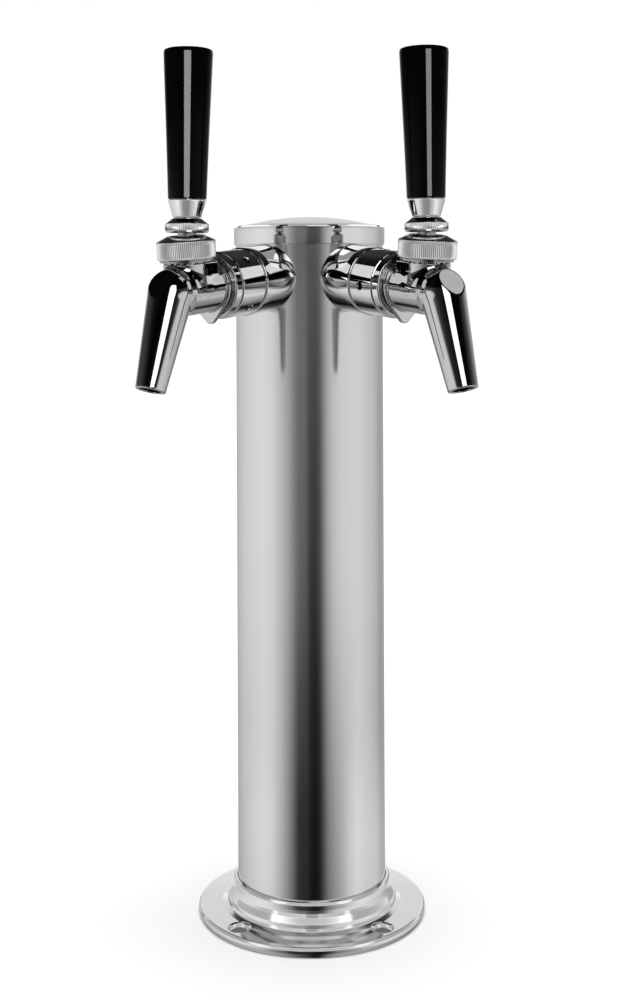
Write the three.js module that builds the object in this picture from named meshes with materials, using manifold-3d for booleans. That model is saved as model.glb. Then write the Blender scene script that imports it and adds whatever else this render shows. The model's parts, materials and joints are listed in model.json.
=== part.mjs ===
// Twin-faucet draught beer tower: a 3 inch polished column on a dished flange, a push-on cap,
// and two forward-sealing faucets on shanks that pass through the column wall.
// Millimetres, +Z up. Origin: centre of the flange's underside. The faucets point towards -Y,
// one to each side of it.
import * as THREE from 'three';
import { mergeVertices } from 'three/addons/utils/BufferGeometryUtils.js';
import Module from 'manifold-3d';

const wasm = await Module();
wasm.setup();

// ---------------------------------------------------------------- driving dimensions
const COLUMN_R = 38.1;          // 3 inch tube
const COLUMN_WALL = 1.5;
const COLUMN_Z0 = 3.2;
const COLUMN_Z1 = 352.4;
const FLANGE_R = 58.5;
const SCREW_PCD_R = 50.8;
const SCREW_HOLE_R = 4.4;
const CAP_R = 39.1;
const CAP_Z0 = 344.5;
const CAP_SHOULDER = 353.4;
const CAP_TOP = 360.3;
const GAP = 0.3;                // gap kept between pieces that touch

const FAUCET_AZIMUTH = 35;      // degrees each side of -Y
const SHANK_Z = 327.5;          // shank axis height at the column's face
const DROOP = 5;                // degrees the shank axis falls outwards
const XN = 96.7;                // bonnet axis, measured along the shank axis from the column's axis
const PIVOT_H = 15;             // lever ball centre above the shank axis
const LEVER_CLOSED = -6;        // degrees: the closed lever leans back towards the column

const SHANK_R = 11.0;
const COLLAR_R = 16.8;
const NUT_R = 16.3;
const BARREL_R = 12.0;
const NECK_R = 11.8;
const BORE_R = 8.2;
const BALL_R = 6.8;
const SPOUT_TIP = new THREE.Vector3(XN + 30.9, 0, -42.9);
const SPOUT_TOP = new THREE.Vector3(XN + 12.7, 0, 0);
const SPOUT_TIP_R = 7.1;
const SPOUT_TOP_R = 10.8;

// ---------------------------------------------------------------- materials
const polished = new THREE.MeshStandardMaterial({ color: 0xc9c9cb, roughness: 0.22, metalness: 1 });
const chrome = new THREE.MeshStandardMaterial({ color: 0xdcdde0, roughness: 0.06, metalness: 1 });
const satin = new THREE.MeshStandardMaterial({ color: 0xb4b4b6, roughness: 0.38, metalness: 1 });
const brass = new THREE.MeshStandardMaterial({ color: 0xc0a060, roughness: 0.3, metalness: 1 });
const black = new THREE.MeshStandardMaterial({ color: 0x060606, roughness: 0.12, metalness: 0 });
const rubber = new THREE.MeshStandardMaterial({ color: 0x161616, roughness: 0.75, metalness: 0 });
const acetal = new THREE.MeshStandardMaterial({ color: 0xe8e6df, roughness: 0.45, metalness: 0 });

// ---------------------------------------------------------------- solids
// A closed geometry as a solid with its faces pointing out.
function solid(geometry, matrix) {
  const g = geometry.index ? geometry.toNonIndexed() : geometry.clone();
  const bare = new THREE.BufferGeometry().setAttribute('position', g.getAttribute('position'));
  if (matrix) bare.applyMatrix4(matrix);
  const m = mergeVertices(bare, 1e-4);
  const idx = m.index.array, keep = [];
  for (let i = 0; i < idx.length; i += 3) {
    const [a, b, c] = [idx[i], idx[i + 1], idx[i + 2]];
    if (a !== b && b !== c && a !== c) keep.push(a, b, c);
  }
  const make = (tri) => new wasm.Manifold(new wasm.Mesh({
    numProp: 3, vertProperties: new Float32Array(m.attributes.position.array), triVerts: new Uint32Array(tri) }));
  let s = make(keep);
  if (s.volume() < 0) {
    for (let i = 0; i < keep.length; i += 3) [keep[i + 1], keep[i + 2]] = [keep[i + 2], keep[i + 1]];
    s = make(keep);
  }
  return s;
}
function toGeometry(s) {
  const m = s.getMesh(), n = m.numProp, v = new Float32Array(m.numVert * 3);
  for (let i = 0; i < m.numVert; i++) v.set(m.vertProperties.subarray(i * n, i * n + 3), i * 3);
  const g = new THREE.BufferGeometry();
  g.setAttribute('position', new THREE.BufferAttribute(v, 3));
  g.setIndex(new THREE.BufferAttribute(new Uint32Array(m.triVerts), 1));
  g.computeVertexNormals();
  return g;
}
const M4 = () => new THREE.Matrix4();
const move = (x, y, z) => M4().makeTranslation(x, y, z);
const rotX = (d) => M4().makeRotationX(THREE.MathUtils.degToRad(d));
const rotY = (d) => M4().makeRotationY(THREE.MathUtils.degToRad(d));
const rotZ = (d) => M4().makeRotationZ(THREE.MathUtils.degToRad(d));
const chain = (...ms) => ms.reduce((a, b) => a.multiply(b), M4());

// Turned about +Z. Points are [radius, height].
function turnedZ(points, segments, matrix) {
  const g = new THREE.LatheGeometry(points.map(([r, z]) => new THREE.Vector2(r, z)), segments);
  const up = rotX(90);
  return solid(g, matrix ? matrix.clone().multiply(up) : up);
}
// A turned ring: its section closes on itself.
const ringZ = (points, segments, matrix) => turnedZ([...points, points[0]], segments, matrix);
// Turned about +X. Points are [radius, x].
const ALONG_X = rotY(90);
const turnedX = (points, segments, matrix) => turnedZ(points, segments, matrix ? matrix.clone().multiply(ALONG_X) : ALONG_X);
const ringX = (points, segments, matrix) => turnedX([...points, points[0]], segments, matrix);
const rod = (r, z0, z1, segments, matrix) => turnedZ([[0, z0], [r, z0], [r, z1], [0, z1]], segments, matrix);
const rodX = (r, x0, x1, segments, matrix) => turnedX([[0, x0], [r, x0], [r, x1], [0, x1]], segments, matrix);
function block(x0, x1, y0, y1, z0, z1, matrix) {
  const g = new THREE.BoxGeometry(x1 - x0, y1 - y0, z1 - z0);
  const t = move((x0 + x1) / 2, (y0 + y1) / 2, (z0 + z1) / 2);
  return solid(g, matrix ? matrix.clone().multiply(t) : t);
}
// A round bar along a curve.
function bar(r, curve, steps, sides) {
  const section = new THREE.Shape();
  for (let i = 0; i < sides; i++) {
    const a = (2 * Math.PI * i) / sides, x = r * Math.cos(a), y = r * Math.sin(a);
    if (i) section.lineTo(x, y); else section.moveTo(x, y);
  }
  section.closePath();
  return solid(new THREE.ExtrudeGeometry(section, { steps, extrudePath: curve, curveSegments: 1 }));
}
// An O-ring about +Z or +X.
function oRing(R, r, at, along, around, tube) {
  const pts = [];
  for (let i = 0; i < tube; i++) {
    const a = (2 * Math.PI * i) / tube;
    pts.push([R + r * Math.cos(a), at + r * Math.sin(a)]);
  }
  return along === 'x' ? ringX(pts, around) : ringZ(pts, around);
}

const root = new THREE.Group();
function add(parent, name, s, material) {
  const mesh = new THREE.Mesh(toGeometry(s), material);
  mesh.name = name;
  parent.add(mesh);
  return mesh;
}

// ---------------------------------------------------------------- faucet frame
// X runs outwards along the drooping shank axis, measured from the column's axis; Z is the bonnet axis.
const tilt = chain(move(COLUMN_R, 0, SHANK_Z), rotY(DROOP), move(-COLUMN_R, 0, 0));
const columnInFaucetFrame = tilt.clone().invert();
const SIDES = [['left', -FAUCET_AZIMUTH, 45], ['right', FAUCET_AZIMUTH, 4]];  // side, azimuth, how far its nut is turned
const faucetMatrix = (azimuth) => chain(rotZ(azimuth - 90), tilt);

// ---------------------------------------------------------------- column, flange, cap
{
  let tube = ringZ([
    [COLUMN_R, COLUMN_Z0], [COLUMN_R, COLUMN_Z1 - 0.3], [COLUMN_R - 0.3, COLUMN_Z1],
    [COLUMN_R - COLUMN_WALL, COLUMN_Z1], [COLUMN_R - COLUMN_WALL, COLUMN_Z0]], 48);
  for (const [, azimuth] of SIDES) tube = tube.subtract(rodX(SHANK_R + 0.6, 20, 60, 20, faucetMatrix(azimuth)));
  add(root, 'column_tube', tube, polished);

  let flange = ringZ([
    [57.8, 0], [FLANGE_R, 1.8], [FLANGE_R, 3.2], [57.9, 4.3], [56.8, 4.7], [46.5, 5.1], [44.2, 5.6], [43.2, 6.6],
    [42.9, 8.2], [42.2, 9.5], [41.0, 12.4], [40.4, 14.2], [40.3, 17.0], [39.7, 18.4], [38.9, 18.9], [COLUMN_R + GAP, 18.9],
    [COLUMN_R + GAP, 3.6], [46.2, 3.2], [55.2, 2.6], [55.2, 0]], 48);
  for (const a of [45, 135, 225, 315]) {
    const at = chain(rotZ(a), move(SCREW_PCD_R, 0, 0));
    flange = flange.subtract(turnedZ([
      [0, -2], [SCREW_HOLE_R, -2], [SCREW_HOLE_R, 3.4], [SCREW_HOLE_R + 1.5, 5.3], [SCREW_HOLE_R + 1.5, 12], [0, 12]], 16, at));
  }
  add(root, 'base_flange', flange, polished);

  // The cap slips over the column's top end and rests on it.
  const dome = (r, top, rim, sag, n) => {
    const R = (rim * rim + sag * sag) / (2 * sag), pts = [];
    for (let i = 0; i <= n; i++) {
      const x = rim * (1 - i / n);
      pts.push([x < 1e-9 ? 0 : x, top - (R - Math.sqrt(R * R - x * x))]);
    }
    return pts;
  };
  add(root, 'top_cap', turnedZ([
    ...dome(0, CAP_TOP - 1.2, 37.6, 5.5, 4).reverse(), [COLUMN_R + GAP, 352.7], [COLUMN_R + GAP, CAP_Z0], [CAP_R - 0.1, CAP_Z0],
    [CAP_R, CAP_SHOULDER], [38.7, 354.2], ...dome(0, CAP_TOP, 38.1, 5.7, 5)], 48), polished);
}

// ---------------------------------------------------------------- faucet pieces, in the faucet frame
function collar() {
  const outer = turnedX([[0, 25], [COLLAR_R, 25], [COLLAR_R, 56.9], [COLLAR_R - 0.7, 57.7], [0, 57.7]], 32);
  return outer.subtract(rodX(SHANK_R + GAP, 20, 60, 20))
    .subtract(rod(COLUMN_R + GAP, 200, 450, 64, columnInFaucetFrame));
}
const shank = () => ringX([
  [SHANK_R, 20.5], [SHANK_R, 62], [13.7, 62], [13.7, 64.8], [3.5, 64.8], [3.5, 26.3], [5.9, 26.3], [5.9, 20.5]], 20);
function innerWasher() {
  // flat towards the nut, curved to the column's inner wall
  const w = rodX(13.5, 31.6, 40, 20).intersect(rod(COLUMN_R - COLUMN_WALL - GAP, 200, 450, 64, columnInFaucetFrame));
  return w.subtract(rodX(SHANK_R + GAP, 20, 60, 20));
}
function hexNut() {
  const s = new THREE.Shape();
  for (let i = 0; i < 6; i++) {
    const a = (Math.PI / 3) * i, r = 15.4;
    if (i) s.lineTo(r * Math.cos(a), r * Math.sin(a)); else s.moveTo(r, 0);
  }
  s.closePath();
  const g = new THREE.ExtrudeGeometry(s, { depth: 6, bevelEnabled: false });
  const hex = solid(g, chain(move(25.3, 0, 0), ALONG_X));
  const chamfer = turnedX([[0, 25], [14.1, 25], [15.6, 26.4], [15.6, 29.9], [14.1, 31.5], [0, 31.5]], 18);
  return hex.intersect(chamfer).subtract(rodX(SHANK_R + GAP, 20, 60, 20));
}
function elbow() {
  // stub in the shank's end, a quarter bend, and a hose barb pointing down
  const c = new THREE.CurvePath();
  const X = 13, B = 7.2, A = new THREE.Vector3(25.8, 0, 0), P = new THREE.Vector3(X + B, 0, 0), Q = new THREE.Vector3(X, 0, -B);
  c.add(new THREE.LineCurve3(A, P));
  c.add(new THREE.CubicBezierCurve3(P, new THREE.Vector3(X + B * 0.45, 0, 0), new THREE.Vector3(X, 0, -B * 0.45), Q));
  c.add(new THREE.LineCurve3(Q, new THREE.Vector3(X, 0, -15)));
  let s = bar(5.2, c, 10, 12);
  s = s.add(ringBarb(X));
  const inner = new THREE.CurvePath();
  inner.add(new THREE.LineCurve3(new THREE.Vector3(27, 0, 0), P));
  inner.add(new THREE.CubicBezierCurve3(P, new THREE.Vector3(X + B * 0.45, 0, 0), new THREE.Vector3(X, 0, -B * 0.45), Q));
  inner.add(new THREE.LineCurve3(Q, new THREE.Vector3(X, 0, -42)));
  return s.subtract(bar(2.4, inner, 12, 8));
}
function ringBarb(X) {
  const pts = [[0, -14], [3.6, -14]];
  for (let i = 0; i < 4; i++) {
    const z = -17 - i * 5;
    pts.push([3.6, z], [4.7, z - 0.3], [3.6, z - 4.2]);
  }
  pts.push([3.4, -37.5], [0, -37.5]);
  return turnedZ(pts, 12, move(X, 0, 0));
}
function couplingNut(turn) {
  let s = ringX([
    [NUT_R - 0.6, 58.0], [NUT_R, 58.6], [NUT_R, 75.0], [15.5, 75.8], [15.4, 79.5], [14.9, 80.0],
    [14.1, 80.0], [14.1, 61.7], [SHANK_R + GAP, 61.7], [SHANK_R + GAP, 58.0]], 30);
  // four spanner holes
  for (let i = 0; i < 4; i++) s = s.subtract(rod(2.0, 12.5, 20, 12, chain(rotX(90 * i + turn), move(66.5, 0, 0))));
  return s;
}
const couplingGasket = () => ringX([[12.6, 65.1], [12.6, 66.9], [6.2, 66.9], [6.2, 65.1]], 20);
function faucetBody() {
  // rear spigot inside the coupling nut, relief, barrel
  let s = turnedX([[0, 67.2], [13.3, 67.2], [13.8, 67.8], [13.8, 79.2], [12.8, 79.6], [12.8, 80.9],
    [BARREL_R, 82.9], [BARREL_R, XN + 8], [0, XN + 10]], 28);
  // keyed flange in front of the nut: round, drawn down to a rounded point
  const f = new THREE.Shape();
  const R1 = 13.2, R2 = 2.6, drop = 15.2, lean = Math.acos((R1 - R2) / drop);
  f.absarc(0, 0, R1, -Math.PI / 2 + lean, (3 * Math.PI) / 2 - lean, false);
  f.absarc(0, -drop, R2, (3 * Math.PI) / 2 - lean, -Math.PI / 2 + lean + 2 * Math.PI, false);
  f.closePath();
  const fg = new THREE.ExtrudeGeometry(f, { depth: 2.5, bevelEnabled: false, curveSegments: 20 });
  // shape x -> faucet y, shape y -> faucet z, depth -> faucet x
  const basis = M4().makeBasis(new THREE.Vector3(0, 1, 0), new THREE.Vector3(0, 0, 1), new THREE.Vector3(1, 0, 0));
  s = s.add(solid(fg, chain(move(80.4, 0, 0), basis)));
  // neck
  s = s.add(turnedZ([[0, -2], [NECK_R, -2], [NECK_R, 12.2], [11.2, 12.8], [11.2, 18.6], [10.8, 19.0], [0, 19.0]], 24, move(XN, 0, 0)));
  // spout: a tapered tube with a rounded shoulder
  const axis = new THREE.Vector3().subVectors(SPOUT_TOP, SPOUT_TIP), len = axis.length();
  const q = new THREE.Quaternion().setFromUnitVectors(new THREE.Vector3(0, 0, 1), axis.clone().normalize());
  const at = move(SPOUT_TIP.x, SPOUT_TIP.y, SPOUT_TIP.z).multiply(M4().makeRotationFromQuaternion(q));
  const pts = [[0, 0], [SPOUT_TIP_R, 0], [SPOUT_TOP_R, len - 1]];
  for (let i = 1; i <= 5; i++) {
    const a = (Math.PI / 2) * (i / 5);
    pts.push([i === 5 ? 0 : SPOUT_TOP_R * Math.cos(a), len - 1 + SPOUT_TOP_R * 0.95 * Math.sin(a)]);
  }
  s = s.add(turnedZ(pts, 24, at));
  // flat-sided web behind the neck
  s = s.add(block(86.6, 97.0, -10.4, 10.4, 0.4, 12.8));
  // plain facet cut across the shoulder
  s = s.subtract(block(18.04, 40, -20, 20, -20, 20, chain(move(XN, 0, 0), rotY(-41))));
  // bores: barrel and tapered seat, port, spout, well for the lever
  s = s.subtract(turnedX([[0, 60], [BORE_R, 60], [BORE_R, 104.7], [5.5, 107.7], [5.5, 110], [0, 110]], 20));
  s = s.subtract(turnedZ([[0, -2], [5.3, -2], [5.7, len - 2], [0, len + 2.6]], 16, at));
  s = s.subtract(turnedZ([[0, 0], [7.6, 0], [7.6, 10.3], [9.5, 10.3], [9.5, 20], [0, 20]], 20, move(XN, 0, 0)));
  return s;
}
const bonnet = () => ringZ([
  [11.5, 13.3], [12.6, 13.3], [12.9, 14.4], [13.8, 14.9], [13.8, 23.0], [13.5, 23.25], [8.6, 25.6],
  [8.1, 25.6], [6.6, 19.3], [11.5, 19.3]], 30, move(XN, 0, 0));
const ballSeat = () => ringZ([[6.5, 10.6], [9.2, 10.6], [9.2, 12.6], [6.6, 12.6]], 20, move(XN, 0, 0));
const ballORing = () => oRing(8.15, 1.15, 13.9, 'z', 18, 6).translate([XN, 0, 0]);
const frictionWasher = () => ringZ([[6.95, 15.3], [9.2, 15.3], [9.2, 19.0], [6.6, 19.0], [6.65, 17.0]], 20, move(XN, 0, 0));
function shuttle() {
  // head and nose ahead of the lever tip, a beam under it, a guide disc behind it
  let s = turnedX([[0, 101.3], [3.2, 101.3], [3.2, 102.8], [6.5, 102.8], [6.5, 104.3], [3.6, 104.3], [3.6, 106.8], [4.5, 106.8], [4.2, 107.6], [0, 107.6]], 16);
  s = s.add(block(88, 103.2, -3, 3, -6.0, -3.4));
  s = s.add(turnedX([[0, 84], [7.8, 84], [7.8, 87], [3.2, 87.4], [3.2, 95.0], [0, 95.0]], 16));
  s = s.add(block(86, 95.0, -3, 3, -6.0, 0));
  s = s.add(block(101.3, 103.2, -3, 3, -6.0, 0));
  // flats that let the beer past the guide disc
  for (const k of [-1, 1]) s = s.subtract(block(83, 87.6, k > 0 ? 5.2 : -9, k > 0 ? 9 : -5.2, -9, 9));
  return s.subtract(block(83, 87.6, -9, 9, 5.2, 9));
}
const shuttleORing = () => oRing(5.2, 1.3, 105.55, 'x', 18, 6);

// lever pieces, in the lever's own frame: origin at the ball's centre, Z along the lever
function lever() {
  const pts = [[0, -17.7]];
  for (let i = 1; i <= 3; i++) { const a = -Math.PI / 2 + (i * Math.PI) / 4; pts.push([2.7 * Math.cos(a), -15 + 2.7 * Math.sin(a)]); }
  pts.push([1.9, -12.6], [2.6, -7.5]);
  for (let i = 0; i <= 8; i++) {
    const a = THREE.MathUtils.degToRad(-64 + (i * 114) / 8);
    pts.push([BALL_R * Math.cos(a), BALL_R * Math.sin(a)]);
  }
  pts.push([4.4, 6.2], [4.4, 11.8], [4.7, 12.1], [4.7, 23.4], [4.2, 24.0], [0, 24.0]);
  return turnedZ(pts, 20);
}
const lockNut = () => ringZ([
  [5.0, 13.4], [8.8, 12.5], [9.3, 11.9], [9.6, 11.9], [10.25, 12.7], [10.25, 15.7], [9.9, 16.2], [7.3, 18.1], [6.9, 18.5], [5.0, 18.5]], 24);
const ferrule = () => turnedZ([
  [0, 24.3], [5.0, 24.3], [5.0, 18.8], [6.6, 18.8], [8.85, 26.6], [8.85, 27.1], [0, 27.1]], 24).subtract(rod(3.3, 20, 30, 12));
const stud = () => turnedZ([[0, 24.5], [3.0, 24.5], [3.0, 46.2], [2.4, 47.0], [0, 47.0]], 12);
const handle = () => turnedZ([
  [0, 27.4], [8.5, 27.4], [9.0, 27.9], [9.25, 34], [11.6, 95.4], [11.5, 96.7], [10.9, 97.5], [9.6, 97.9], [0, 98.1]], 32)
  .subtract(rod(3.3, 20, 47.5, 12));

for (const [side, azimuth, turn] of SIDES) {
  const faucet = new THREE.Group();
  faucetMatrix(azimuth).decompose(faucet.position, faucet.quaternion, faucet.scale);
  root.add(faucet);
  const n = (name) => side + '_' + name;
  add(faucet, n('shank_collar'), collar(), chrome);
  add(faucet, n('shank'), shank(), chrome);
  add(faucet, n('inner_washer'), innerWasher(), satin);
  add(faucet, n('shank_hex_nut'), hexNut(), brass);
  add(faucet, n('barbed_elbow'), elbow(), brass);
  add(faucet, n('coupling_nut'), couplingNut(turn), chrome);
  add(faucet, n('coupling_gasket'), couplingGasket(), rubber);
  add(faucet, n('faucet_body'), faucetBody(), chrome);
  add(faucet, n('bonnet'), bonnet(), satin);
  add(faucet, n('ball_seat'), ballSeat(), acetal);
  add(faucet, n('ball_o_ring'), ballORing(), rubber);
  add(faucet, n('friction_washer'), frictionWasher(), acetal);
  add(faucet, n('shuttle'), shuttle(), satin);
  add(faucet, n('shuttle_o_ring'), shuttleORing(), rubber);
  const leverGroup = new THREE.Group();
  leverGroup.position.set(XN, 0, PIVOT_H);
  leverGroup.rotation.y = THREE.MathUtils.degToRad(LEVER_CLOSED);
  faucet.add(leverGroup);
  add(leverGroup, n('lever'), lever(), satin);
  add(leverGroup, n('lever_lock_nut'), lockNut(), chrome);
  add(leverGroup, n('handle_ferrule'), ferrule(), chrome);
  add(leverGroup, n('handle_stud'), stud(), satin);
  add(leverGroup, n('tap_handle'), handle(), black);
}

export default root;
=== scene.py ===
import json
import math
import bpy
import numpy as np
from mathutils import Matrix, Vector

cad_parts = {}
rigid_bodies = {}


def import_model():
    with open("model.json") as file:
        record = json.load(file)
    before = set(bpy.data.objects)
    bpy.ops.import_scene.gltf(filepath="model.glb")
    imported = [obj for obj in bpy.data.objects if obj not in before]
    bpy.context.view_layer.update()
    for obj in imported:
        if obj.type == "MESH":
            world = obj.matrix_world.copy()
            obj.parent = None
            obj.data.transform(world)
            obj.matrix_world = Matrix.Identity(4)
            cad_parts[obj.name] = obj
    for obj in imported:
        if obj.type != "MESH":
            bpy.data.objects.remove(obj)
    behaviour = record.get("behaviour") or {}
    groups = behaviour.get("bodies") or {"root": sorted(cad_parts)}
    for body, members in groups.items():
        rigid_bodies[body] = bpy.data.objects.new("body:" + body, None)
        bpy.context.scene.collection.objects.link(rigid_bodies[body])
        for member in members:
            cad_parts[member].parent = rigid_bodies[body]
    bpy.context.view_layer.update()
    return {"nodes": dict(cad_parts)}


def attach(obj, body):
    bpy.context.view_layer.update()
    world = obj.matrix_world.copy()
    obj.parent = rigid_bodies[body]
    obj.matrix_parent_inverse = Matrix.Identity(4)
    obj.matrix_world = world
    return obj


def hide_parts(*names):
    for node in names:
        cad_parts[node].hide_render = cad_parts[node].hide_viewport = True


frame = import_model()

MM = 0.001

# ------------------------------------------------------------------ sizes, as the CAD has them (mm)
COLUMN_R, COLUMN_WALL, COLUMN_Z0, COLUMN_Z1 = 38.1, 1.5, 3.2, 352.4
CAP_R, CAP_Z0, CAP_SHOULDER, CAP_TOP = 39.1, 344.5, 353.4, 360.3
SHANK_Z, DROOP, AZIMUTH = 327.5, 5.0, 35.0
XN, PIVOT_H, LEVER_CLOSED = 96.7, 15.0, -6.0
COLLAR_R, NUT_R, BARREL_R, SHANK_R = 16.8, 16.3, 12.0, 11.0
TIP = np.array([XN + 30.9, 0.0, -42.9])
TOP = np.array([XN + 12.7, 0.0, 0.0])
TIP_R, TOP_R = 7.1, 10.8
SIDES = (("left", -AZIMUTH, 45.0), ("right", AZIMUTH, 4.0))


def faucet_matrix(azimuth):
    return (Matrix.Rotation(math.radians(azimuth - 90), 4, "Z") @ Matrix.Translation((COLUMN_R, 0, SHANK_Z))
            @ Matrix.Rotation(math.radians(DROOP), 4, "Y") @ Matrix.Translation((-COLUMN_R, 0, 0)))


def lever_matrix(azimuth):
    return (faucet_matrix(azimuth) @ Matrix.Translation((XN, 0, PIVOT_H))
            @ Matrix.Rotation(math.radians(LEVER_CLOSED), 4, "Y"))


ALONG_X = Matrix.Rotation(math.radians(90), 4, "Y")
SCALE = Matrix.Scale(MM, 4)


# ------------------------------------------------------------------ materials
def nodes_of(mat):
    mat.use_nodes = True
    t = mat.node_tree
    return t, t.nodes["Principled BSDF"]


def math_node(t, op, a, b=None, clamp=False):
    n = t.nodes.new("ShaderNodeMath")
    n.operation = op
    n.use_clamp = clamp
    for i, v in enumerate((a, b)):
        if v is None:
            continue
        if isinstance(v, (int, float)):
            n.inputs[i].default_value = v
        else:
            t.links.new(v, n.inputs[i])
    return n.outputs[0]


def noise(t, scale, detail=3.0, rough=0.5, stretch=None, vec=None):
    n = t.nodes.new("ShaderNodeTexNoise")
    n.inputs["Scale"].default_value = scale
    n.inputs["Detail"].default_value = detail
    n.inputs["Roughness"].default_value = rough
    if vec is None:
        vec = t.nodes.new("ShaderNodeTexCoord").outputs["Object"]
    if stretch:
        m = t.nodes.new("ShaderNodeMapping")
        m.inputs["Scale"].default_value = stretch
        t.links.new(vec, m.inputs["Vector"])
        vec = m.outputs[0]
    t.links.new(vec, n.inputs["Vector"])
    return n.outputs["Fac"]


def remap(t, v, a, b, lo, hi):
    n = t.nodes.new("ShaderNodeMapRange")
    for k, x in zip(("From Min", "From Max", "To Min", "To Max"), (a, b, lo, hi)):
        n.inputs[k].default_value = x
    t.links.new(v, n.inputs["Value"])
    return n.outputs[0]


def ramp(t, v, stops):
    n = t.nodes.new("ShaderNodeValToRGB")
    e = n.color_ramp.elements
    while len(e) > 1:
        e.remove(e[-1])
    e[0].position, e[0].color = stops[0][0], (*([stops[0][1]] * 3 if isinstance(stops[0][1], float) else stops[0][1]), 1)
    for p, c in stops[1:]:
        s = e.new(p)
        s.color = (*([c] * 3 if isinstance(c, float) else c), 1)
    t.links.new(v, n.inputs[0])
    return n.outputs[0]


def bump(t, bsdf, height, strength, distance):
    n = t.nodes.new("ShaderNodeBump")
    n.inputs["Strength"].default_value = strength
    n.inputs["Distance"].default_value = distance
    t.links.new(height, n.inputs["Height"])
    t.links.new(n.outputs[0], bsdf.inputs["Normal"])


def metal(name, color, rough, spread, scale, grain=None, bump_mm=0.0, tint=0.02):
    """A metal whose polish varies slightly over its surface."""
    mat = bpy.data.materials.new(name)
    t, b = nodes_of(mat)
    b.inputs["Metallic"].default_value = 1.0
    f = noise(t, scale, 4, 0.6, grain)
    t.links.new(remap(t, f, 0.3, 0.7, max(rough - spread, 0.01), rough + spread), b.inputs["Roughness"])
    lo = tuple(max(c - tint, 0) for c in color)
    hi = tuple(min(c + tint, 1) for c in color)
    t.links.new(ramp(t, f, [(0.3, lo), (0.7, hi)]), b.inputs["Base Color"])
    if bump_mm:
        bump(t, b, noise(t, scale * 1.7, 3, 0.5, grain), 0.35, bump_mm * MM)
    return mat


def plastic(name, color, rough, spread, scale, coat=0.0, spec=0.5, bump_mm=0.0):
    mat = bpy.data.materials.new(name)
    t, b = nodes_of(mat)
    f = noise(t, scale, 4, 0.55)
    t.links.new(remap(t, f, 0.3, 0.7, max(rough - spread, 0.01), rough + spread), b.inputs["Roughness"])
    lo = tuple(c * 0.85 for c in color)
    t.links.new(ramp(t, f, [(0.3, lo), (0.7, color)]), b.inputs["Base Color"])
    b.inputs["Specular IOR Level"].default_value = spec
    b.inputs["Coat Weight"].default_value = coat
    b.inputs["Coat Roughness"].default_value = 0.02
    if bump_mm:
        bump(t, b, noise(t, scale * 3, 3, 0.5), 0.4, bump_mm * MM)
    return mat


CHROME = metal("chrome_plate", (0.56, 0.564, 0.57), 0.035, 0.012, 60)
TURNED = metal("chrome_turned", (0.75, 0.754, 0.76), 0.035, 0.012, 60)
POLISHED = metal("polished_steel", (0.70, 0.70, 0.705), 0.13, 0.02, 160, grain=(1.0, 1.0, 0.12), tint=0.012)
FLANGE = metal("polished_flange", (0.76, 0.76, 0.765), 0.13, 0.02, 90, tint=0.015)
CAP = metal("polished_cap", (0.72, 0.72, 0.725), 0.055, 0.015, 120, tint=0.01)
SATIN = metal("satin_chrome", (0.72, 0.72, 0.725), 0.15, 0.04, 400, tint=0.03, bump_mm=0.01)
STEEL = metal("plain_steel", (0.56, 0.56, 0.56), 0.26, 0.05, 300, tint=0.02)
BRASS = metal("brass_fitting", (0.72, 0.53, 0.26), 0.24, 0.05, 200, tint=0.03)
RUBBER = plastic("black_rubber", (0.02, 0.02, 0.02), 0.7, 0.08, 500, spec=0.3, bump_mm=0.02)
ACETAL = plastic("acetal", (0.82, 0.81, 0.77), 0.42, 0.05, 300)
BLACK = plastic("black_handle", (0.0018, 0.0018, 0.002), 0.05, 0.01, 90, coat=0.0, spec=0.05)


# ------------------------------------------------------------------ mesh tools
def rounded(points, steps=5):
    """A section through points (r, z, fillet); each fillet rounds that corner."""
    out, n = [], len(points)
    for i, p in enumerate(points):
        f = p[2] if len(p) > 2 else 0.0
        if not f or i in (0, n - 1):
            out.append((p[0], p[1]))
            continue
        a, b, c = (Vector(points[k][:2]) for k in (i - 1, i, i + 1))
        u, v = (a - b).normalized(), (c - b).normalized()
        ang = u.angle(v)
        t = min(f / math.tan(ang / 2), (a - b).length * 0.49, (c - b).length * 0.49)
        r = t * math.tan(ang / 2)
        mid = (u + v).normalized()
        centre = b + mid * (r / math.sin(ang / 2))
        s, e = b + u * t - centre, b + v * t - centre
        turn = math.atan2(s.x * e.y - s.y * e.x, s.dot(e))
        for k in range(steps + 1):
            w = turn * k / steps
            out.append((centre.x + s.x * math.cos(w) - s.y * math.sin(w), centre.y + s.x * math.sin(w) + s.y * math.cos(w)))
    return out


def mesh_object(name, verts, faces, matrix, material, body, slot, *nodes, sharp=32.0, flip=False):
    m = bpy.data.meshes.new(name)
    m.from_pydata([tuple(v) for v in verts], [], faces)
    m.transform(SCALE @ matrix if matrix is not None else SCALE)
    import bmesh
    bm = bmesh.new()
    bm.from_mesh(m)
    bmesh.ops.remove_doubles(bm, verts=bm.verts, dist=1e-6)
    bmesh.ops.dissolve_degenerate(bm, edges=bm.edges, dist=1e-6)
    bmesh.ops.recalc_face_normals(bm, faces=bm.faces)
    bm.to_mesh(m)
    bm.free()
    m.polygons.foreach_set("use_smooth", [True] * len(m.polygons))
    m.set_sharp_from_angle(angle=math.radians(sharp))
    m.materials.append(material)
    o = bpy.data.objects.new(name, m)
    bpy.context.scene.collection.objects.link(o)
    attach(o, body)
    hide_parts(*nodes)
    return o


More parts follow.
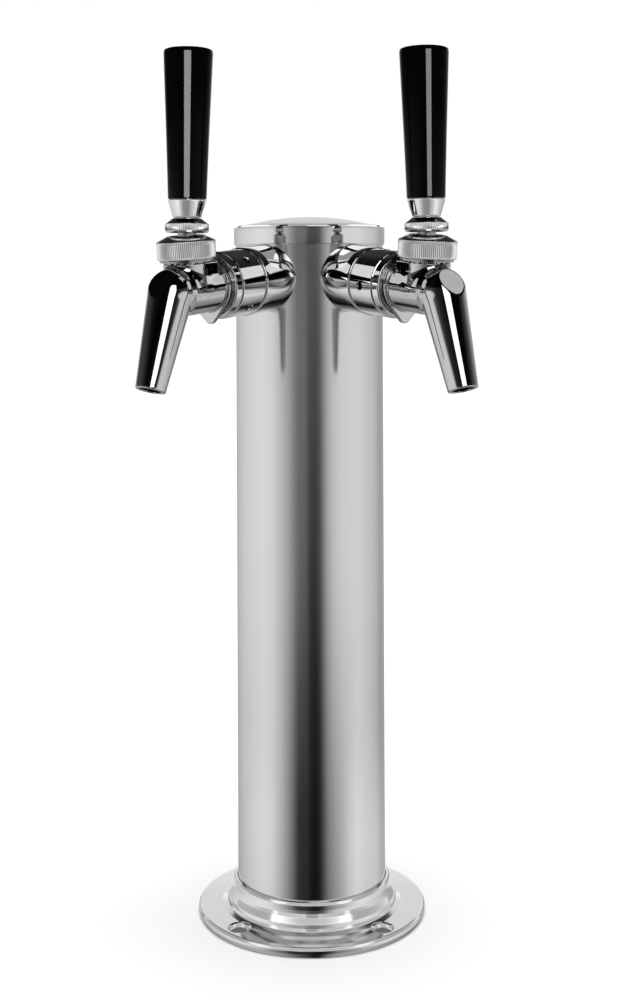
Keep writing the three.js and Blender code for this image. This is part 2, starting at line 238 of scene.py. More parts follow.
def turned(section, segments, closed=False, radius=None):
    """Vertices and faces of a section (r, z) turned about Z. radius(r, z, angle) may reshape it."""
    verts, rows = [], []
    for r, z in section:
        if r < 1e-6:
            rows.append([len(verts)])
            verts.append((0, 0, z))
            continue
        row = []
        for k in range(segments):
            a = 2 * math.pi * k / segments
            q = radius(r, z, a) if radius else r
            row.append(len(verts))
            verts.append((q * math.cos(a), q * math.sin(a), z))
        rows.append(row)
    faces = []
    pairs = list(zip(rows, rows[1:])) + ([(rows[-1], rows[0])] if closed else [])
    for A, B in pairs:
        for k in range(segments):
            j = (k + 1) % segments
            if len(A) == 1 and len(B) == 1:
                continue
            if len(A) == 1:
                faces.append((A[0], B[j], B[k]))
            elif len(B) == 1:
                faces.append((A[k], A[j], B[0]))
            else:
                faces.append((A[k], A[j], B[j], B[k]))
    return verts, faces


def knurl(z0, z1, count, depth, soft=0.5):
    """A straight knurl between z0 and z1, running out over soft mm at both ends."""
    def f(r, z, a):
        w = min(max((z - z0) / soft, 0), 1) * min(max((z1 - z) / soft, 0), 1)
        if w <= 0:
            return r
        p = (a * count / (2 * math.pi)) % 1.0
        return r - depth * w * (1 - abs(2 * p - 1)) ** 1.2
    return f


# ------------------------------------------------------------------ column, flange, cap
def column():
    seg, rows_z = 192, [COLUMN_Z0, COLUMN_Z0 + 0.3] + list(np.linspace(20, 345, 27)) + [COLUMN_Z1 - 0.5, COLUMN_Z1 - 0.2, COLUMN_Z1]
    ro = [COLUMN_R - 0.3] + [COLUMN_R] * (len(rows_z) - 3) + [COLUMN_R - 0.06, COLUMN_R - 0.3]
    sec = list(zip(ro, rows_z)) + [(COLUMN_R - COLUMN_WALL, z) for z in reversed(rows_z)]
    v, f = turned(sec, seg, closed=True)
    o = mesh_object("column", v, f, None, POLISHED, "tower", "polished_steel", "column_tube")
    # the two shank holes, hidden behind the collars
    cutters = []
    for side, az, _ in SIDES:
        cv, cf = turned([(0, 25), (SHANK_R + 0.6, 25), (SHANK_R + 0.6, 50), (0, 50)], 48)
        m = bpy.data.meshes.new("cut")
        m.from_pydata(cv, [], cf)
        m.transform(SCALE @ faucet_matrix(az) @ ALONG_X)
        c = bpy.data.objects.new("cut", m)
        bpy.context.scene.collection.objects.link(c)
        cutters.append(c)
        mod = o.modifiers.new("hole", "BOOLEAN")
        mod.operation, mod.solver, mod.object = "DIFFERENCE", "EXACT", c
    dg = bpy.context.evaluated_depsgraph_get()
    new = bpy.data.meshes.new_from_object(o.evaluated_get(dg))
    o.modifiers.clear()
    o.data = new
    for c in cutters:
        bpy.data.objects.remove(c)
    # true radial normals on the two walls
    normals = []
    for p in new.polygons:
        c = p.center
        rad = Vector((c.x, c.y, 0)).normalized()
        k = p.normal.dot(rad)
        for li in p.loop_indices:
            co = new.vertices[new.loops[li].vertex_index].co
            q = Vector((co.x, co.y, 0)).normalized()
            normals.append(q if k > 0.95 else (-q if k < -0.95 else p.normal.copy()))
    new.normals_split_custom_set(normals)
    return o


def base():
    holes = [(50.8 * math.cos(math.radians(a)), 50.8 * math.sin(math.radians(a))) for a in (45, 135, 225, 315)]
    sec = rounded([
        (55.2, 0, 0), (57.85, 0, 0.2), (58.5, 1.9, 0.9), (58.5, 3.4, 0.7), (57.6, 4.65, 0.9), (46.3, 5.1, 1.4), (43.5, 5.9, 0.8), (42.95, 7.4, 0.7), (42.6, 9.1, 0.8),
        (41.1, 12.0, 1.6), (40.55, 13.7, 0.7), (40.35, 15.2, 0.5), (40.3, 17.5, 0.6), (39.6, 18.75, 0.6), (38.7, 18.9, 0.3), (38.16, 18.75, 0), (38.4, 17.5, 0), (38.4, 3.6, 0),
        (46.2, 3.2, 0), (55.2, 2.6, 0), (55.2, 0, 0)], 6)[:-1]
    # extra rows over the dished top, so that the pressed holes stay round
    dense = []
    for (r0, z0), (r1, z1) in zip(sec, sec[1:] + sec[:1]):
        n = max(1, int(math.hypot(r1 - r0, z1 - z0) / 0.9))
        dense += [(r0 + (r1 - r0) * i / n, z0 + (z1 - z0) * i / n) for i in range(n)]
    v, f = turned(dense, 288, closed=True)
    o = mesh_object("base_plate", v, f, None, FLANGE, "tower", "polished_steel", "base_flange", sharp=40)
    cutters = []
    for x, y in holes:
        prof = rounded([(0, -1), (4.4, -1), (4.4, 3.1, 0), (4.55, 3.6, 0.4), (5.3, 4.75, 1.2), (6.3, 5.15, 0), (6.3, 9), (0, 9)], 6)
        cv, cf = turned(prof, 48)
        m = bpy.data.meshes.new("cut")
        m.from_pydata(cv, [], cf)
        m.transform(SCALE @ Matrix.Translation((x, y, 0)))
        c = bpy.data.objects.new("cut", m)
        bpy.context.scene.collection.objects.link(c)
        cutters.append(c)
        mod = o.modifiers.new("hole", "BOOLEAN")
        mod.operation, mod.solver, mod.object = "DIFFERENCE", "EXACT", c
    dg = bpy.context.evaluated_depsgraph_get()
    new = bpy.data.meshes.new_from_object(o.evaluated_get(dg))
    o.modifiers.clear()
    o.data = new
    for c in cutters:
        bpy.data.objects.remove(c)
    new.polygons.foreach_set("use_smooth", [True] * len(new.polygons))
    new.set_sharp_from_angle(angle=math.radians(30))
    return o


def cap():
    def dome(top, rim, sag, n):
        R = (rim * rim + sag * sag) / (2 * sag)
        return [(rim * (1 - i / n), top - (R - math.sqrt(R * R - (rim * (1 - i / n)) ** 2))) for i in range(n + 1)]
    outer = dome(CAP_TOP, 38.1, 5.7, 40)
    inner = dome(CAP_TOP - 1.2, 37.6, 5.5, 20)[::-1]
    wall = rounded([(COLUMN_R + 0.35, 352.7), (COLUMN_R + 0.35, CAP_Z0, 0.15), (CAP_R - 0.1, CAP_Z0, 0.25), (CAP_R, CAP_SHOULDER, 0.6),
                    (38.75, 354.25, 0.5), outer[0], outer[1]], 6)[:-1]
    sec = inner + wall + outer[1:]
    v, f = turned(sec, 192)
    return mesh_object("cap_shell", v, f, None, CAP, "cap", "polished_steel", "top_cap")


# ------------------------------------------------------------------ the faucet casting
def smin(a, b, k):
    h = np.clip(0.5 + 0.5 * (b - a) / k, 0, 1)
    return b * (1 - h) + a * h - k * h * (1 - h)


def smax(a, b, k):
    return -smin(-a, -b, k)


def cyl(rho, s, R, lo, hi, r):
    dr, ds = rho - R + r, np.abs(s - (lo + hi) / 2) - (hi - lo) / 2 + r
    return np.minimum(np.maximum(dr, ds), 0) + np.hypot(np.maximum(dr, 0), np.maximum(ds, 0)) - r


SPOUT_DIR = (TOP - TIP) / np.linalg.norm(TOP - TIP)
SPOUT_LEN = float(np.linalg.norm(TOP - TIP))


def casting(x, y, z):
    rx = np.hypot(y, z)
    rz = np.hypot(x - XN, y)
    # axial distance up the spout from its tip, and distance off its axis
    px, pz = x - TIP[0], z - TIP[2]
    h = px * SPOUT_DIR[0] + pz * SPOUT_DIR[2]
    off = np.sqrt(np.maximum(px * px + y * y + pz * pz - h * h, 0))
    barrel = cyl(rx, x, BARREL_R, 81.0, XN + 9.5, 2.0)
    # spout: a long taper with a round shoulder
    slope = (TOP_R - TIP_R) / SPOUT_LEN
    body_r = TIP_R + slope * h
    cone = (off - body_r) / math.sqrt(1 + slope * slope)
    ball = np.sqrt(off * off + (h - SPOUT_LEN) ** 2) - TOP_R
    spout = np.where(h < SPOUT_LEN, cone, ball)
    d = smin(barrel, spout, 1.6)
    # the shoulder runs back on both sides of the neck
    k = np.clip((x - (XN - 2)) / 14.0, 0, 1)
    saddle = np.sqrt((x - (XN - 2 + 14.0 * k)) ** 2 + y * y + (z - (0.6 - 0.6 * k)) ** 2) - (11.2 - 0.4 * k)
    d = smin(d, saddle, 0.9)
    neck = cyl(rz, z, 11.2, -2.0, 12.7, 0.4)
    d = smin(d, neck, 1.7)
    # flat-sided web behind the neck
    bx, by, bz = np.abs(x - 91.8) - 4.6, np.abs(y) - 9.8, np.abs(z - 6.6) - 5.6
    web = np.minimum(np.maximum(np.maximum(bx, by), bz), 0) + np.sqrt(
        np.maximum(bx, 0) ** 2 + np.maximum(by, 0) ** 2 + np.maximum(bz, 0) ** 2) - 0.7
    d = smin(d, web, 0.9)
    # plain facet on the shoulder
    facet = 0.7547 * (x - XN) + 0.6561 * z - 18.04
    d = smax(d, facet, 0.35)
    # keyed flange, drawn down to a rounded point
    r1, r2, hh = 13.2, 3.2, 14.6
    py, pq = np.abs(y), -z
    b = (r1 - r2) / hh
    a = math.sqrt(1 - b * b)
    kk = -b * py + a * pq
    drop = np.where(kk < 0, np.hypot(py, pq) - r1, np.where(kk > a * hh, np.hypot(py, pq - hh) - r2, py * a + pq * b - r1))
    fx = np.abs(x - 81.65) - 1.25
    r = 0.35
    flange = np.minimum(np.maximum(drop + r, fx + r), 0) + np.hypot(np.maximum(drop + r, 0), np.maximum(fx + r, 0)) - r
    d = smin(d, flange, 0.5)
    d = np.minimum(d, cyl(rx, x, 13.8, 67.2, 79.6, 0.4))
    d = np.minimum(d, cyl(rx, x, 12.8, 78.0, 81.5, 0.1))
    # spigot inside the bonnet
    d = np.minimum(d, cyl(rz, z, 10.9, 10.0, 19.0, 0.4))
    # cut square at the spout's mouth, with a slightly broken edge
    d = smax(d, -h, 0.5)
    # bores
    bore = np.maximum(rx - 8.2, np.maximum(60 - x, x - 104.7))
    seat = np.maximum(rx - (8.2 - 0.9 * (x - 104.7)), np.maximum(104.7 - x, x - 107.7))
    bore = np.minimum(bore, seat)
    bore = np.minimum(bore, np.maximum(rx - 5.5, np.maximum(107.5 - x, x - 110.0)))
    bore = np.minimum(bore, np.maximum(off - (5.3 + 0.0085 * h), h - SPOUT_LEN - 2.0))
    bore = np.minimum(bore, np.maximum(rz - 7.6, -z))
    bore = np.minimum(bore, np.maximum(rz - 9.5, 10.3 - z))
    return smax(d, -bore, 0.3)


def surface_net(f, lo, hi, step):
    """A closed quad mesh of f = 0 in the box."""
    axes = [np.arange(a, b + step, step) for a, b in zip(lo, hi)]
    X, Y, Z = np.meshgrid(*axes, indexing="ij")
    V = f(X, Y, Z)
    V[V == 0] = 1e-6
    inside = V < 0
    n = [s - 1 for s in V.shape]
    acc = np.zeros((*n, 3))
    cnt = np.zeros(n)
    corner = lambda A, dx, dy, dz: A[dx:n[0] + dx, dy:n[1] + dy, dz:n[2] + dz]
    corners = [(i, j, k) for i in (0, 1) for j in (0, 1) for k in (0, 1)]
    for c in corners:
        for ax in range(3):
            if c[ax]:
                continue
            e = list(c)
            e[ax] = 1
            v0, v1 = corner(V, *c), corner(V, *e)
            m = (v0 < 0) != (v1 < 0)
            t = np.where(m, v0 / np.where(m, v0 - v1, 1), 0)
            for q in range(3):
                acc[..., q] += np.where(m, c[q] + (t if q == ax else 0), 0)
            cnt += m
    live = cnt > 0
    index = -np.ones(n, int)
    index[live] = np.arange(live.sum())
    ijk = np.argwhere(live)
    P = (ijk + acc[live] / cnt[live][:, None]) * step + np.array([a[0] for a in axes])
    quads = []
    for ax in range(3):
        b, c = (ax + 1) % 3, (ax + 2) % 3
        sl = [slice(None)] * 3
        sl[ax] = slice(0, V.shape[ax] - 1)
        A = inside[tuple(sl)]
        sl[ax] = slice(1, V.shape[ax])
        B = inside[tuple(sl)]
        for sign in (True, False):
            E = np.argwhere((A != B) & (A == sign))
            E = E[(E[:, b] > 0) & (E[:, c] > 0) & (E[:, b] < n[b]) & (E[:, c] < n[c])]
            ring = []
            for ob, oc in ((-1, -1), (0, -1), (0, 0), (-1, 0)):
                q = E.copy()
                q[:, b] += ob
                q[:, c] += oc
                ring.append(index[q[:, 0], q[:, 1], q[:, 2]])
            Q = np.stack(ring, 1)
            quads.append(Q if sign else Q[:, ::-1])
    Q = np.concatenate(quads)
    return P, Q


def gradient(f, P, e=0.04):
    G = np.zeros_like(P)
    for q in range(3):
        d = np.zeros(3)
        d[q] = e
        G[:, q] = (f(*(P + d).T) - f(*(P - d).T)) / (2 * e)
    return G


STEP = 0.5
P_, Q_ = surface_net(casting, (66.0, -15.6, -47.5), (XN + 40.0, 15.6, 20.2), STEP)
for _ in range(3):
    g = gradient(casting, P_)
    s = casting(*P_.T) / np.maximum((g * g).sum(1), 0.3)
    move = np.clip(s, -0.3, 0.3)[:, None] * g
    P_ = P_ - move
N_ = gradient(casting, P_)
N_ /= np.maximum(np.linalg.norm(N_, axis=1), 1e-9)[:, None]


def faucet_body(side, az):
    M = faucet_matrix(az)
    m = bpy.data.meshes.new(side + "_faucet_casting")
    m.from_pydata(P_.tolist(), [], Q_.tolist())
    m.transform(SCALE @ M)
    m.polygons.foreach_set("use_smooth", [True] * len(m.polygons))
    R = np.array(M.to_3x3())
    m.materials.append(CHROME)
    m.validate()
    m.normals_split_custom_set_from_vertices((N_ @ R.T).tolist())
    o = bpy.data.objects.new(side + "_faucet_casting", m)
    bpy.context.scene.collection.objects.link(o)
    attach(o, "tower")
    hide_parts(side + "_faucet_body")
    return o


# ------------------------------------------------------------------ faucet trim
def collar(side, az):
    """A short tube whose back end follows the column."""
    seg, rows = 160, []
    b = math.radians(DROOP)

    def back(r, a, extra=0.0):
        y, z = r * math.cos(a), r * math.sin(a)
        return COLUMN_R + (math.sqrt((COLUMN_R + 0.15) ** 2 - y * y) - COLUMN_R - z * math.sin(b)) / math.cos(b) + extra
    rows.append(lambda a: (SHANK_R + 0.3, 57.7))
    rows.append(lambda a: (SHANK_R + 0.3, back(SHANK_R + 0.3, a)))
    rows.append(lambda a: (COLLAR_R - 0.5, back(COLLAR_R - 0.5, a)))
    for k in range(1, 5):
        t = k / 4 * math.pi / 2
        rows.append(lambda a, t=t: (COLLAR_R - 0.4 + 0.4 * math.sin(t), back(COLLAR_R, a, 0.4 - 0.4 * math.cos(t))))
    for w in (0.25, 0.5, 0.75):
        rows.append(lambda a, w=w: (COLLAR_R, back(COLLAR_R, a, 0.4) * (1 - w) + 56.9 * w))
    for k in range(0, 6):
        t = k / 5 * math.pi / 2
        rows.append(lambda a, t=t: (COLLAR_R - 0.8 + 0.8 * math.cos(t), 56.9 + 0.8 * math.sin(t)))
    verts, faces = [], []
    for row in rows:
        for k in range(seg):
            a = 2 * math.pi * k / seg
            r, x = row(a)
            verts.append((x, r * math.cos(a), r * math.sin(a)))
    n = len(rows)
    for i in range(n):
        for k in range(seg):
            j = (k + 1) % seg
            p, q = i, (i + 1) % n
            faces.append((p * seg + k, p * seg + j, q * seg + j, q * seg + k))
    return mesh_object(side + "_collar", verts, faces, faucet_matrix(az), TURNED, "tower", "chrome_plate", side + "_shank_collar", sharp=40)


def coupling(side, az, turn):
    sec = rounded([
        (SHANK_R + 0.3, 61.7), (SHANK_R + 0.3, 58.0, 0.1), (NUT_R - 0.05, 58.0, 0.7), (NUT_R, 66, 0), (NUT_R, 75.3, 0.45), (15.6, 75.7, 0.2), (15.45, 79.6, 0.5),
        (14.5, 80.0, 0.3), (14.1, 79.7), (14.1, 61.7)], 6)
    v, f = turned(sec, 192, closed=True)
    o = mesh_object(side + "_nut", v, f, faucet_matrix(az) @ ALONG_X, TURNED, "tower", "chrome_plate", side + "_coupling_nut", sharp=40)
    cutters = []
    for i in range(4):
        cv, cf = turned(rounded([(0, 12.9), (2.0, 12.9), (2.0, 15.9, 0.2), (2.45, 16.45, 0), (2.45, 19), (0, 19)], 4), 32)
        m = bpy.data.meshes.new("cut")
        m.from_pydata(cv, [], cf)
        m.transform(SCALE @ faucet_matrix(az) @ Matrix.Rotation(math.radians(turn + 90 * i), 4, "X") @ Matrix.Translation((66.5, 0, 0)))
        c = bpy.data.objects.new("cut", m)
        bpy.context.scene.collection.objects.link(c)
        cutters.append(c)
        mod = o.modifiers.new("hole", "BOOLEAN")
        mod.operation, mod.solver, mod.object = "DIFFERENCE", "EXACT", c
    dg = bpy.context.evaluated_depsgraph_get()
    new = bpy.data.meshes.new_from_object(o.evaluated_get(dg))
    o.modifiers.clear()
    o.data = new
    for c in cutters:
        bpy.data.objects.remove(c)
    # round walls keep true radial normals
    M = SCALE @ faucet_matrix(az)
    inv, R = M.inverted(), faucet_matrix(az).to_3x3()
    normals = []
    for p in new.polygons:
        c = inv @ p.center
        n = R.inverted() @ p.normal
        rad = Vector((0, c.y, c.z)).normalized()
        k = n.dot(rad)
        flat = abs(n.x) < 0.02 and math.hypot(c.y, c.z) > 15.0
        for li in p.loop_indices:
            if flat and k > 0.97:
                q = inv @ new.vertices[new.loops[li].vertex_index].co
                normals.append(R @ Vector((0, q.y, q.z)).normalized())
            else:
                normals.append(Vector((0, 0, 0)))
    new.polygons.foreach_set("use_smooth", [True] * len(new.polygons))
    new.set_sharp_from_angle(angle=math.radians(35))
    new.normals_split_custom_set(normals)
    return o


def bonnet(side, az):
    M = faucet_matrix(az) @ Matrix.Translation((XN, 0, 0))
    sec = rounded([
        (11.5, 19.3), (11.5, 13.3, 0.1), (12.5, 13.3, 0.25), (12.9, 14.35, 0.3), (13.6, 14.75, 0.2), (13.8, 15.1, 0), (13.8, 15.6, 0), (13.8, 17, 0), (13.8, 19, 0), (13.8, 21, 0),
        (13.8, 22.4, 0), (13.8, 22.9, 0), (13.5, 23.25, 0.3), (8.65, 25.6, 0.25), (8.1, 25.6, 0.12), (6.6, 19.3)], 4)
    v, f = turned(sec, 90 * 6, closed=True, radius=knurl(14.9, 23.0, 90, 0.5, 0.3))
    o = mesh_object(side + "_bonnet_nut", v, f, M, SATIN, "tower", "satin_chrome", side + "_bonnet", sharp=60)
    o.data.materials.append(CHROME)
    inv = (SCALE @ M).inverted()
    for p in o.data.polygons:
        c = inv @ p.center
        if c.z > 23.12 or c.z < 14.85 or math.hypot(c.x, c.y) < 11.6:
            p.material_index = 1
    return o


def lever_parts(side, az):
    M, body = lever_matrix(az), side + "_lever"
    pts = [(0, -17.7)]
    for i in range(1, 9):
        a = -math.pi / 2 + i * math.pi / 11
        pts.append((2.7 * math.cos(a), -15 + 2.7 * math.sin(a)))
    pts += [(1.95, -12.6), (2.3, -10), (2.6, -7.0)]
    for i in range(25):
        a = math.radians(-64 + i * 114 / 24)
        pts.append((6.8 * math.cos(a), 6.8 * math.sin(a)))
    pts += [(4.4, 6.2), (4.4, 11.8), (4.7, 12.1), (4.7, 23.4), (4.2, 24.0), (0, 24.0)]
    v, f = turned(pts, 64)
    mesh_object(side + "_lever_stem", v, f, M, STEEL, body, "plain_steel", side + "_lever")
    sec = rounded([
        (5.0, 18.5), (5.0, 13.4, 0.1), (8.8, 12.5, 0.15), (9.3, 11.9, 0.1), (9.6, 11.9, 0.15), (10.25, 12.75, 0.3), (10.25, 13.2, 0), (10.25, 14.4, 0), (10.25, 15.4, 0), (10.2, 15.85, 0.25), (9.6, 16.4, 0.4), (7.4, 18.05, 0.3),
        (6.9, 18.5, 0.2)], 4)
    v, f = turned(sec, 66 * 6, closed=True, radius=knurl(12.85, 15.9, 66, 0.42, 0.25))
    o = mesh_object(side + "_knurled_nut", v, f, M, TURNED, body, "chrome_plate", side + "_lever_lock_nut", sharp=60)
    o.data.materials.append(SATIN)
    inv = (SCALE @ M).inverted()
    for p in o.data.polygons:
        c = inv @ p.center
        if 12.8 < c.z < 15.95 and math.hypot(c.x, c.y) > 9.5:
            p.material_index = 1
    sec = rounded([
        (0, 24.3), (5.0, 24.3), (5.0, 18.8, 0.1), (6.45, 18.8, 0.3), (6.75, 19.5, 1.0), (8.8, 26.4, 0.4), (8.85, 27.1, 0.15), (3.3, 27.1), (3.3, 24.3)], 5)
    v, f = turned(sec[1:], 128, closed=True)
    mesh_object(side + "_handle_collar", v, f, M, TURNED, body, "chrome_plate", side + "_handle_ferrule", sharp=40)
    sec = rounded([
        (3.3, 27.4), (8.4, 27.4, 0.1), (9.05, 27.65, 0.6), (9.25, 34, 3), (10.0, 55, 40), (11.62, 95.6, 0.4), (11.45, 97.2, 1.0), (10.2, 97.75, 1.5), (5, 98.0, 5), (0, 98.1)], 8)
    sec += [(0, 47.5), (3.3, 47.5)]
    v, f = turned(sec, 128, closed=True)
    mesh_object(side + "_handle", v, f, M, BLACK, body, "black_handle", side + "_tap_handle", sharp=50)


column()
base()
cap()
for side, az, turn in SIDES:
    faucet_body(side, az)
    collar(side, az)
    coupling(side, az, turn)
    bonnet(side, az)
    lever_parts(side, az)

# carried-over inner pieces
INNER = {"shank": CHROME, "inner_washer": STEEL, "shank_hex_nut": BRASS, "barbed_elbow": BRASS, "coupling_gasket": RUBBER,
         "ball_seat": ACETAL, "ball_o_ring": RUBBER, "friction_washer": ACETAL, "shuttle": STEEL, "shuttle_o_ring": RUBBER,
         "handle_stud": STEEL}
for side, _, _ in SIDES:
    for name, mat in INNER.items():
        o = frame["nodes"][side + "_" + name]
        o.data.materials.clear()
        o.data.materials.append(mat)

# ------------------------------------------------------------------ studio
scene = bpy.context.scene


def plain(name, value):
    mat = bpy.data.materials.new(name)
    t, b = nodes_of(mat)
    b.inputs["Base Color"].default_value = (value, value, value, 1)
    b.inputs["Roughness"].default_value = 0.9
    b.inputs["Specular IOR Level"].default_value = 0.0
    return mat


# one sheet: a floor that curves up behind on every side is not needed, the pale surroundings meet it at the horizon
fm = bpy.data.meshes.new("floor")
ring, verts, faces = 64, [], []
for r in (0.0, 3.0, 300.0):
    if r == 0:
        verts.append((0, 0, -0.0002))
    else:
        verts += [(r * math.cos(2 * math.pi * k / ring), r * math.sin(2 * math.pi * k / ring), -0.0002) for k in range(ring)]
faces += [(0, 1 + k, 1 + (k + 1) % ring) for k in range(ring)]
faces += [(1 + k, 1 + ring + k, 1 + ring + (k + 1) % ring, 1 + (k + 1) % ring) for k in range(ring)]
fm.from_pydata(verts, [], faces)
fm.materials.append(plain("floor", 0.86))
floor = bpy.data.objects.new("floor", fm)
scene.collection.objects.link(floor)
floor.visible_glossy = False

world = bpy.data.worlds.new("studio")
scene.world = world
world.use_nodes = True
t = world.node_tree
bg = t.nodes["Background"]
sep = t.nodes.new("ShaderNodeSeparateXYZ")
t.links.new(t.nodes.new("ShaderNodeTexCoord").outputs["Generated"], sep.inputs[0])
az = math_node(t, "ARCTAN2", sep.outputs[0], math_node(t, "MULTIPLY", sep.outputs[1], -1.0))
turn = remap(t, az, -math.pi, math.pi, 0.0, 1.0)
# brightness of the surroundings by direction, degrees from the front
AROUND = [(-180, 0.42), (-166, 0.47), (-137, 0.735), (-115, 0.87), (-77, 0.98), (-60, 0.90), (-47, 0.71), (-37, 0.56), (-30.6, 0.45), (-24.4, 0.31),
          (-18, 0.175), (-12, 0.14), (-5, 0.11), (-1, 0.03), (8, 0.012), (12, 0.03), (16, 0.08), (20, 0.22), (26, 0.48), (32.6, 0.64),
          (39, 0.76), (49.4, 0.86), (79, 0.91), (118, 0.69), (139.6, 0.46), (166, 0.46), (180, 0.42)]
side_light = ramp(t, turn, [((d + 180) / 360, float(v)) for d, v in AROUND])
middle = ramp(t, turn, [(0.43, 0.0), (0.47, 0.075), (0.53, 0.075), (0.57, 0.0)])
up = remap(t, sep.outputs[2], -1.0, 1.0, 0.0, 1.0)
ceiling = ramp(t, up, [(0.0, 0.50), (0.2, 0.54), (0.28, 0.60), (0.325, 0.85), (0.4, 1.0), (1.0, 1.0)])
lift = t.nodes.new("ShaderNodeMixRGB")
lift.blend_type = "ADD"
t.links.new(remap(t, sep.outputs[2], -0.30, -0.04, 0.0, 1.0), lift.inputs[0])
t.links.new(side_light, lift.inputs[1])
t.links.new(middle, lift.inputs[2])
side_light = lift.outputs[0]
mul = t.nodes.new("ShaderNodeMixRGB")
mul.blend_type = "MULTIPLY"
mul.inputs[0].default_value = 1.0
t.links.new(side_light, mul.inputs[1])
t.links.new(ceiling, mul.inputs[2])


def panel(lo, hi, low, high, value):
    """A soft-edged bright panel between two azimuths (degrees) and two heights (sine of elevation)."""
    a = ramp(t, turn, [((lo - 6 + 180) / 360, 0.0), ((lo + 180) / 360, 1.0), ((hi + 180) / 360, 1.0), ((hi + 6 + 180) / 360, 0.0)])
    b = ramp(t, up, [((low - 0.04 + 1) / 2, 0.0), ((low + 1) / 2, 1.0), ((high + 1) / 2, 1.0), (min((high + 0.04 + 1) / 2, 1.0), 0.0)])
    return math_node(t, "MULTIPLY", math_node(t, "MULTIPLY", a, b), value)


# above eye level: dark except for the wall behind the tower
HIGH = [(-180, 0.85), (-158, 0.85), (-140, 0.30), (-120, 0.06), (-99, 0.09), (-79, 0.11), (-58, 0.11), (-36, 0.025), (-15, 0.02), (30, 0.02), (42, 0.02),
        (50, 0.06), (60, 0.03), (78, 0.11), (99, 0.13), (115, 0.26), (130, 0.45), (158, 0.85), (180, 0.85)]
high = ramp(t, turn, [((d + 180) / 360, float(v)) for d, v in HIGH])
top = ramp(t, up, [(0.5, 1.0), ((1 + 0.20) / 2, 1.0), ((1 + 0.34) / 2, 0.06), (1.0, 0.03)])
over = t.nodes.new("ShaderNodeMixRGB")
over.blend_type = "MIX"
t.links.new(remap(t, sep.outputs[2], 0.015, 0.075, 0.0, 1.0), over.inputs[0])
t.links.new(mul.outputs[0], over.inputs[1])
t.links.new(math_node(t, "MULTIPLY", high, top), over.inputs[2])
total = over.outputs[0]
near = ramp(t, turn, [((d + 180) / 360, float(v)) for d, v in ((-46, 1.0), (-28, 0.62), (-20, 0.2), (-8, 0.3), (6, 0.6), (14, 0.5), (26, 0.62), (48, 0.72), (74, 1.0))])
shade = t.nodes.new("ShaderNodeMixRGB")
shade.blend_type = "MULTIPLY"
t.links.new(math_node(t, "MULTIPLY", remap(t, sep.outputs[2], -0.20, -0.34, 0.0, 1.0), remap(t, sep.outputs[2], -0.62, -0.48, 0.0, 1.0)), shade.inputs[0])
t.links.new(total, shade.inputs[1])
t.links.new(near, shade.inputs[2])
total = shade.outputs[0]
table = ramp(t, turn, [((d + 180) / 360, float(v)) for d, v in (
    (-150, 0.05), (-125, 0.08), (-92, 0.24), (-66, 0.26), (-46, 0.05), (-30, 0.0), (34, 0.0), (48, 0.14), (61, 0.38), (92, 0.36), (116, 0.46), (132, 0.62), (150, 0.5), (170, 0.1))])
band = math_node(t, "MULTIPLY", remap(t, sep.outputs[2], -0.295, -0.36, 0.0, 1.0), remap(t, sep.outputs[2], -0.54, -0.42, 0.0, 1.0))
glow = t.nodes.new("ShaderNodeMixRGB")
glow.blend_type = "MULTIPLY"
glow.inputs[0].default_value = 1.0
t.links.new(total, glow.inputs[1])
t.links.new(math_node(t, "ADD", math_node(t, "MULTIPLY", table, band), 1.0), glow.inputs[2])
total = glow.outputs[0]
for args in ((90, 112, 0.70, 0.86, 0.75),):
    add = t.nodes.new("ShaderNodeMixRGB")
    add.blend_type = "ADD"
    add.inputs[0].default_value = 1.0
    t.links.new(total, add.inputs[1])
    t.links.new(panel(*args), add.inputs[2])
    total = add.outputs[0]
mix = t.nodes.new("ShaderNodeMixRGB")
mix.inputs[2].default_value = (1, 1, 1, 1)
t.links.new(t.nodes.new("ShaderNodeLightPath").outputs["Is Camera Ray"], mix.inputs[0])
t.links.new(total, mix.inputs[1])
t.links.new(mix.outputs[0], bg.inputs["Color"])
bg.inputs["Strength"].default_value = 1.0


def area(name, loc, target, sx, sy, power, glossy=True, diffuse=True):
    L = bpy.data.lights.new(name, "AREA")
    L.shape, L.size, L.size_y, L.energy = "RECTANGLE", sx, sy, power
    o = bpy.data.objects.new(name, L)
    o.location = loc
    o.rotation_euler = (Vector(target) - Vector(loc)).to_track_quat("-Z", "Y").to_euler()
    o.visible_glossy, o.visible_diffuse, o.visible_camera = glossy, diffuse, False
    scene.collection.objects.link(o)
    return o


sun = bpy.data.lights.new("sky_fill", "SUN")
sun.energy, sun.angle = 4.05, math.radians(75)
so = bpy.data.objects.new("sky_fill", sun)
so.visible_glossy = False
scene.collection.objects.link(so)


def card(name, centre, turn_deg, rise_deg, wide, tall, radiance, receivers, far=1.7):
    """A bright card seen only in the reflections of some pieces; its place and size are angles as seen from centre."""
    a, e = math.radians(turn_deg), math.radians(rise_deg)
    loc = Vector(centre) + far * Vector((math.sin(a) * math.cos(e), -math.cos(a) * math.cos(e), math.sin(e)))
    sx, sy = 2 * far * math.tan(math.radians(wide / 2)), 2 * far * math.tan(math.radians(tall / 2))
    o = area(name, loc, centre, sx, sy, radiance * math.pi * sx * sy, diffuse=False)
    group = bpy.data.collections.new("lit_by_" + name)
    for piece in scene.objects:
        if piece.name in receivers:
            group.objects.link(piece)
    o.light_linking.receiver_collection = group


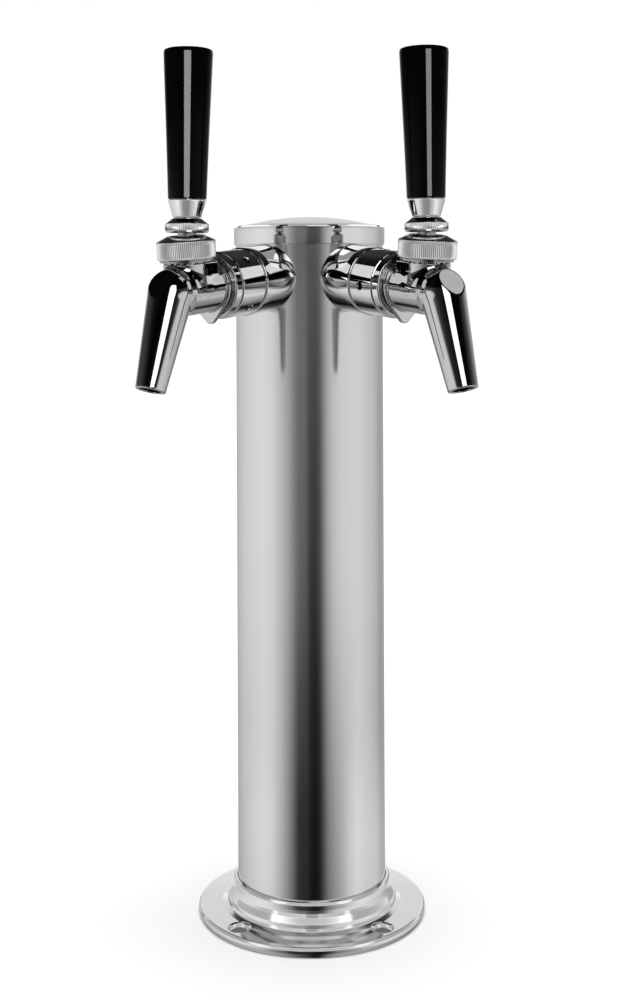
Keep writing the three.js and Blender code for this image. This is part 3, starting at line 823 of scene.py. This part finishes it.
card("left_strip", (-0.073, -0.104, 0.385), 3, 2, 32, 34, 66, ("left_handle",))
card("right_strip", (0.073, -0.104, 0.385), 17, 2, 25, 34, 52, ("right_handle",))
SHANK_PIECES = ("_collar", "_nut", "_faucet_casting", "_bonnet_nut", "_lever_stem", "_knurled_nut", "_handle_collar")
card("front_panel", (0, -0.06, 0.33), 13.5, 22, 30, 30, 2.0,
     ("column", "cap_shell") + tuple(side + piece for side in ("left", "right") for piece in SHANK_PIECES))
# what the foot of the tower sees from the height of the counter
FOOT = (0, -0.03, 0.01)
for name, turn_deg, rise_deg, wide, tall, value in (
        ("low_left", -32, 15, 46, 28, 0.72), ("low_front", 1, 15, 22, 28, 0.42), ("low_right", 33, 15, 44, 28, 0.62), ("high_front", 0, 47, 104, 42, 0.62),
        ("far_left", -90, 26, 84, 48, 0.5), ("far_right", 90, 26, 84, 48, 0.5), ("overhead", 0, 87, 64, 64, 0.45), ("behind", 180, 24, 90, 20, 0.80)):
    card(name, FOOT, turn_deg, rise_deg, wide, tall, value, ("base_plate",))
# what the cap's dome sees behind it, and what the upper column sees at its sides
card("dome_behind", (0, 0, 0.357), 180, 19, 70, 26, 0.74, ("cap_shell",))
for name, turn_deg, rise_deg, wide, tall, value in (
        ("dome_front", 0, 30, 88, 50, 0.5), ("dome_left", -90, 34, 88, 50, 0.55), ("dome_right", 90, 34, 88, 50, 0.55),
        ("dome_back", 180, 54, 88, 40, 0.6), ("dome_over", 0, 89, 62, 62, 0.62)):
    card(name, (0, 0, 0.357), turn_deg, rise_deg, wide, tall, value, ("cap_shell",))
for side, sign in (("left", -1), ("right", 1)):
    card(side + "_wall", (0, 0, 0.33), 88 * sign, 27, 84, 26, 0.85, ("column", "cap_shell"))
    card(side + "_knurl_front", (0.056 * sign, -0.08, 0.352), 0, 4, 118, 64, 0.30, (side + "_bonnet_nut", side + "_knurled_nut"))
    card(side + "_knurl_top", (0.056 * sign, -0.08, 0.36), 0, 4, 118, 64, 0.30, (side + "_knurled_nut",))
    card(side + "_ferrule_front", (0.056 * sign, -0.08, 0.375), 0, -26, 120, 56, 0.30, (side + "_handle_collar",), far=0.38)
    card(side + "_rear", (0.045 * sign, -0.062, 0.33), -128 * sign, 21, 50, 28, 0.85, (side + "_collar", side + "_nut", side + "_faucet_casting"))

cam = bpy.data.cameras.new("camera")
cam.lens, cam.sensor_width, cam.sensor_fit = 53.96, 36.0, "AUTO"
cam.shift_x, cam.shift_y = 0.0, -0.231
cam.clip_start, cam.clip_end = 0.01, 600
co = bpy.data.objects.new("camera", cam)
co.matrix_world = Matrix.Rotation(math.radians(0.8), 4, "Z") @ Matrix.Translation((0.0006, -0.780, 0.332)) @ Matrix.Rotation(math.pi / 2, 4, "X") @ Matrix.Rotation(-0.004, 4, "Z")
scene.collection.objects.link(co)
scene.camera = co
scene.view_settings.view_transform = "Standard"
scene.view_settings.look = "None"
scene.view_settings.exposure = 0.0
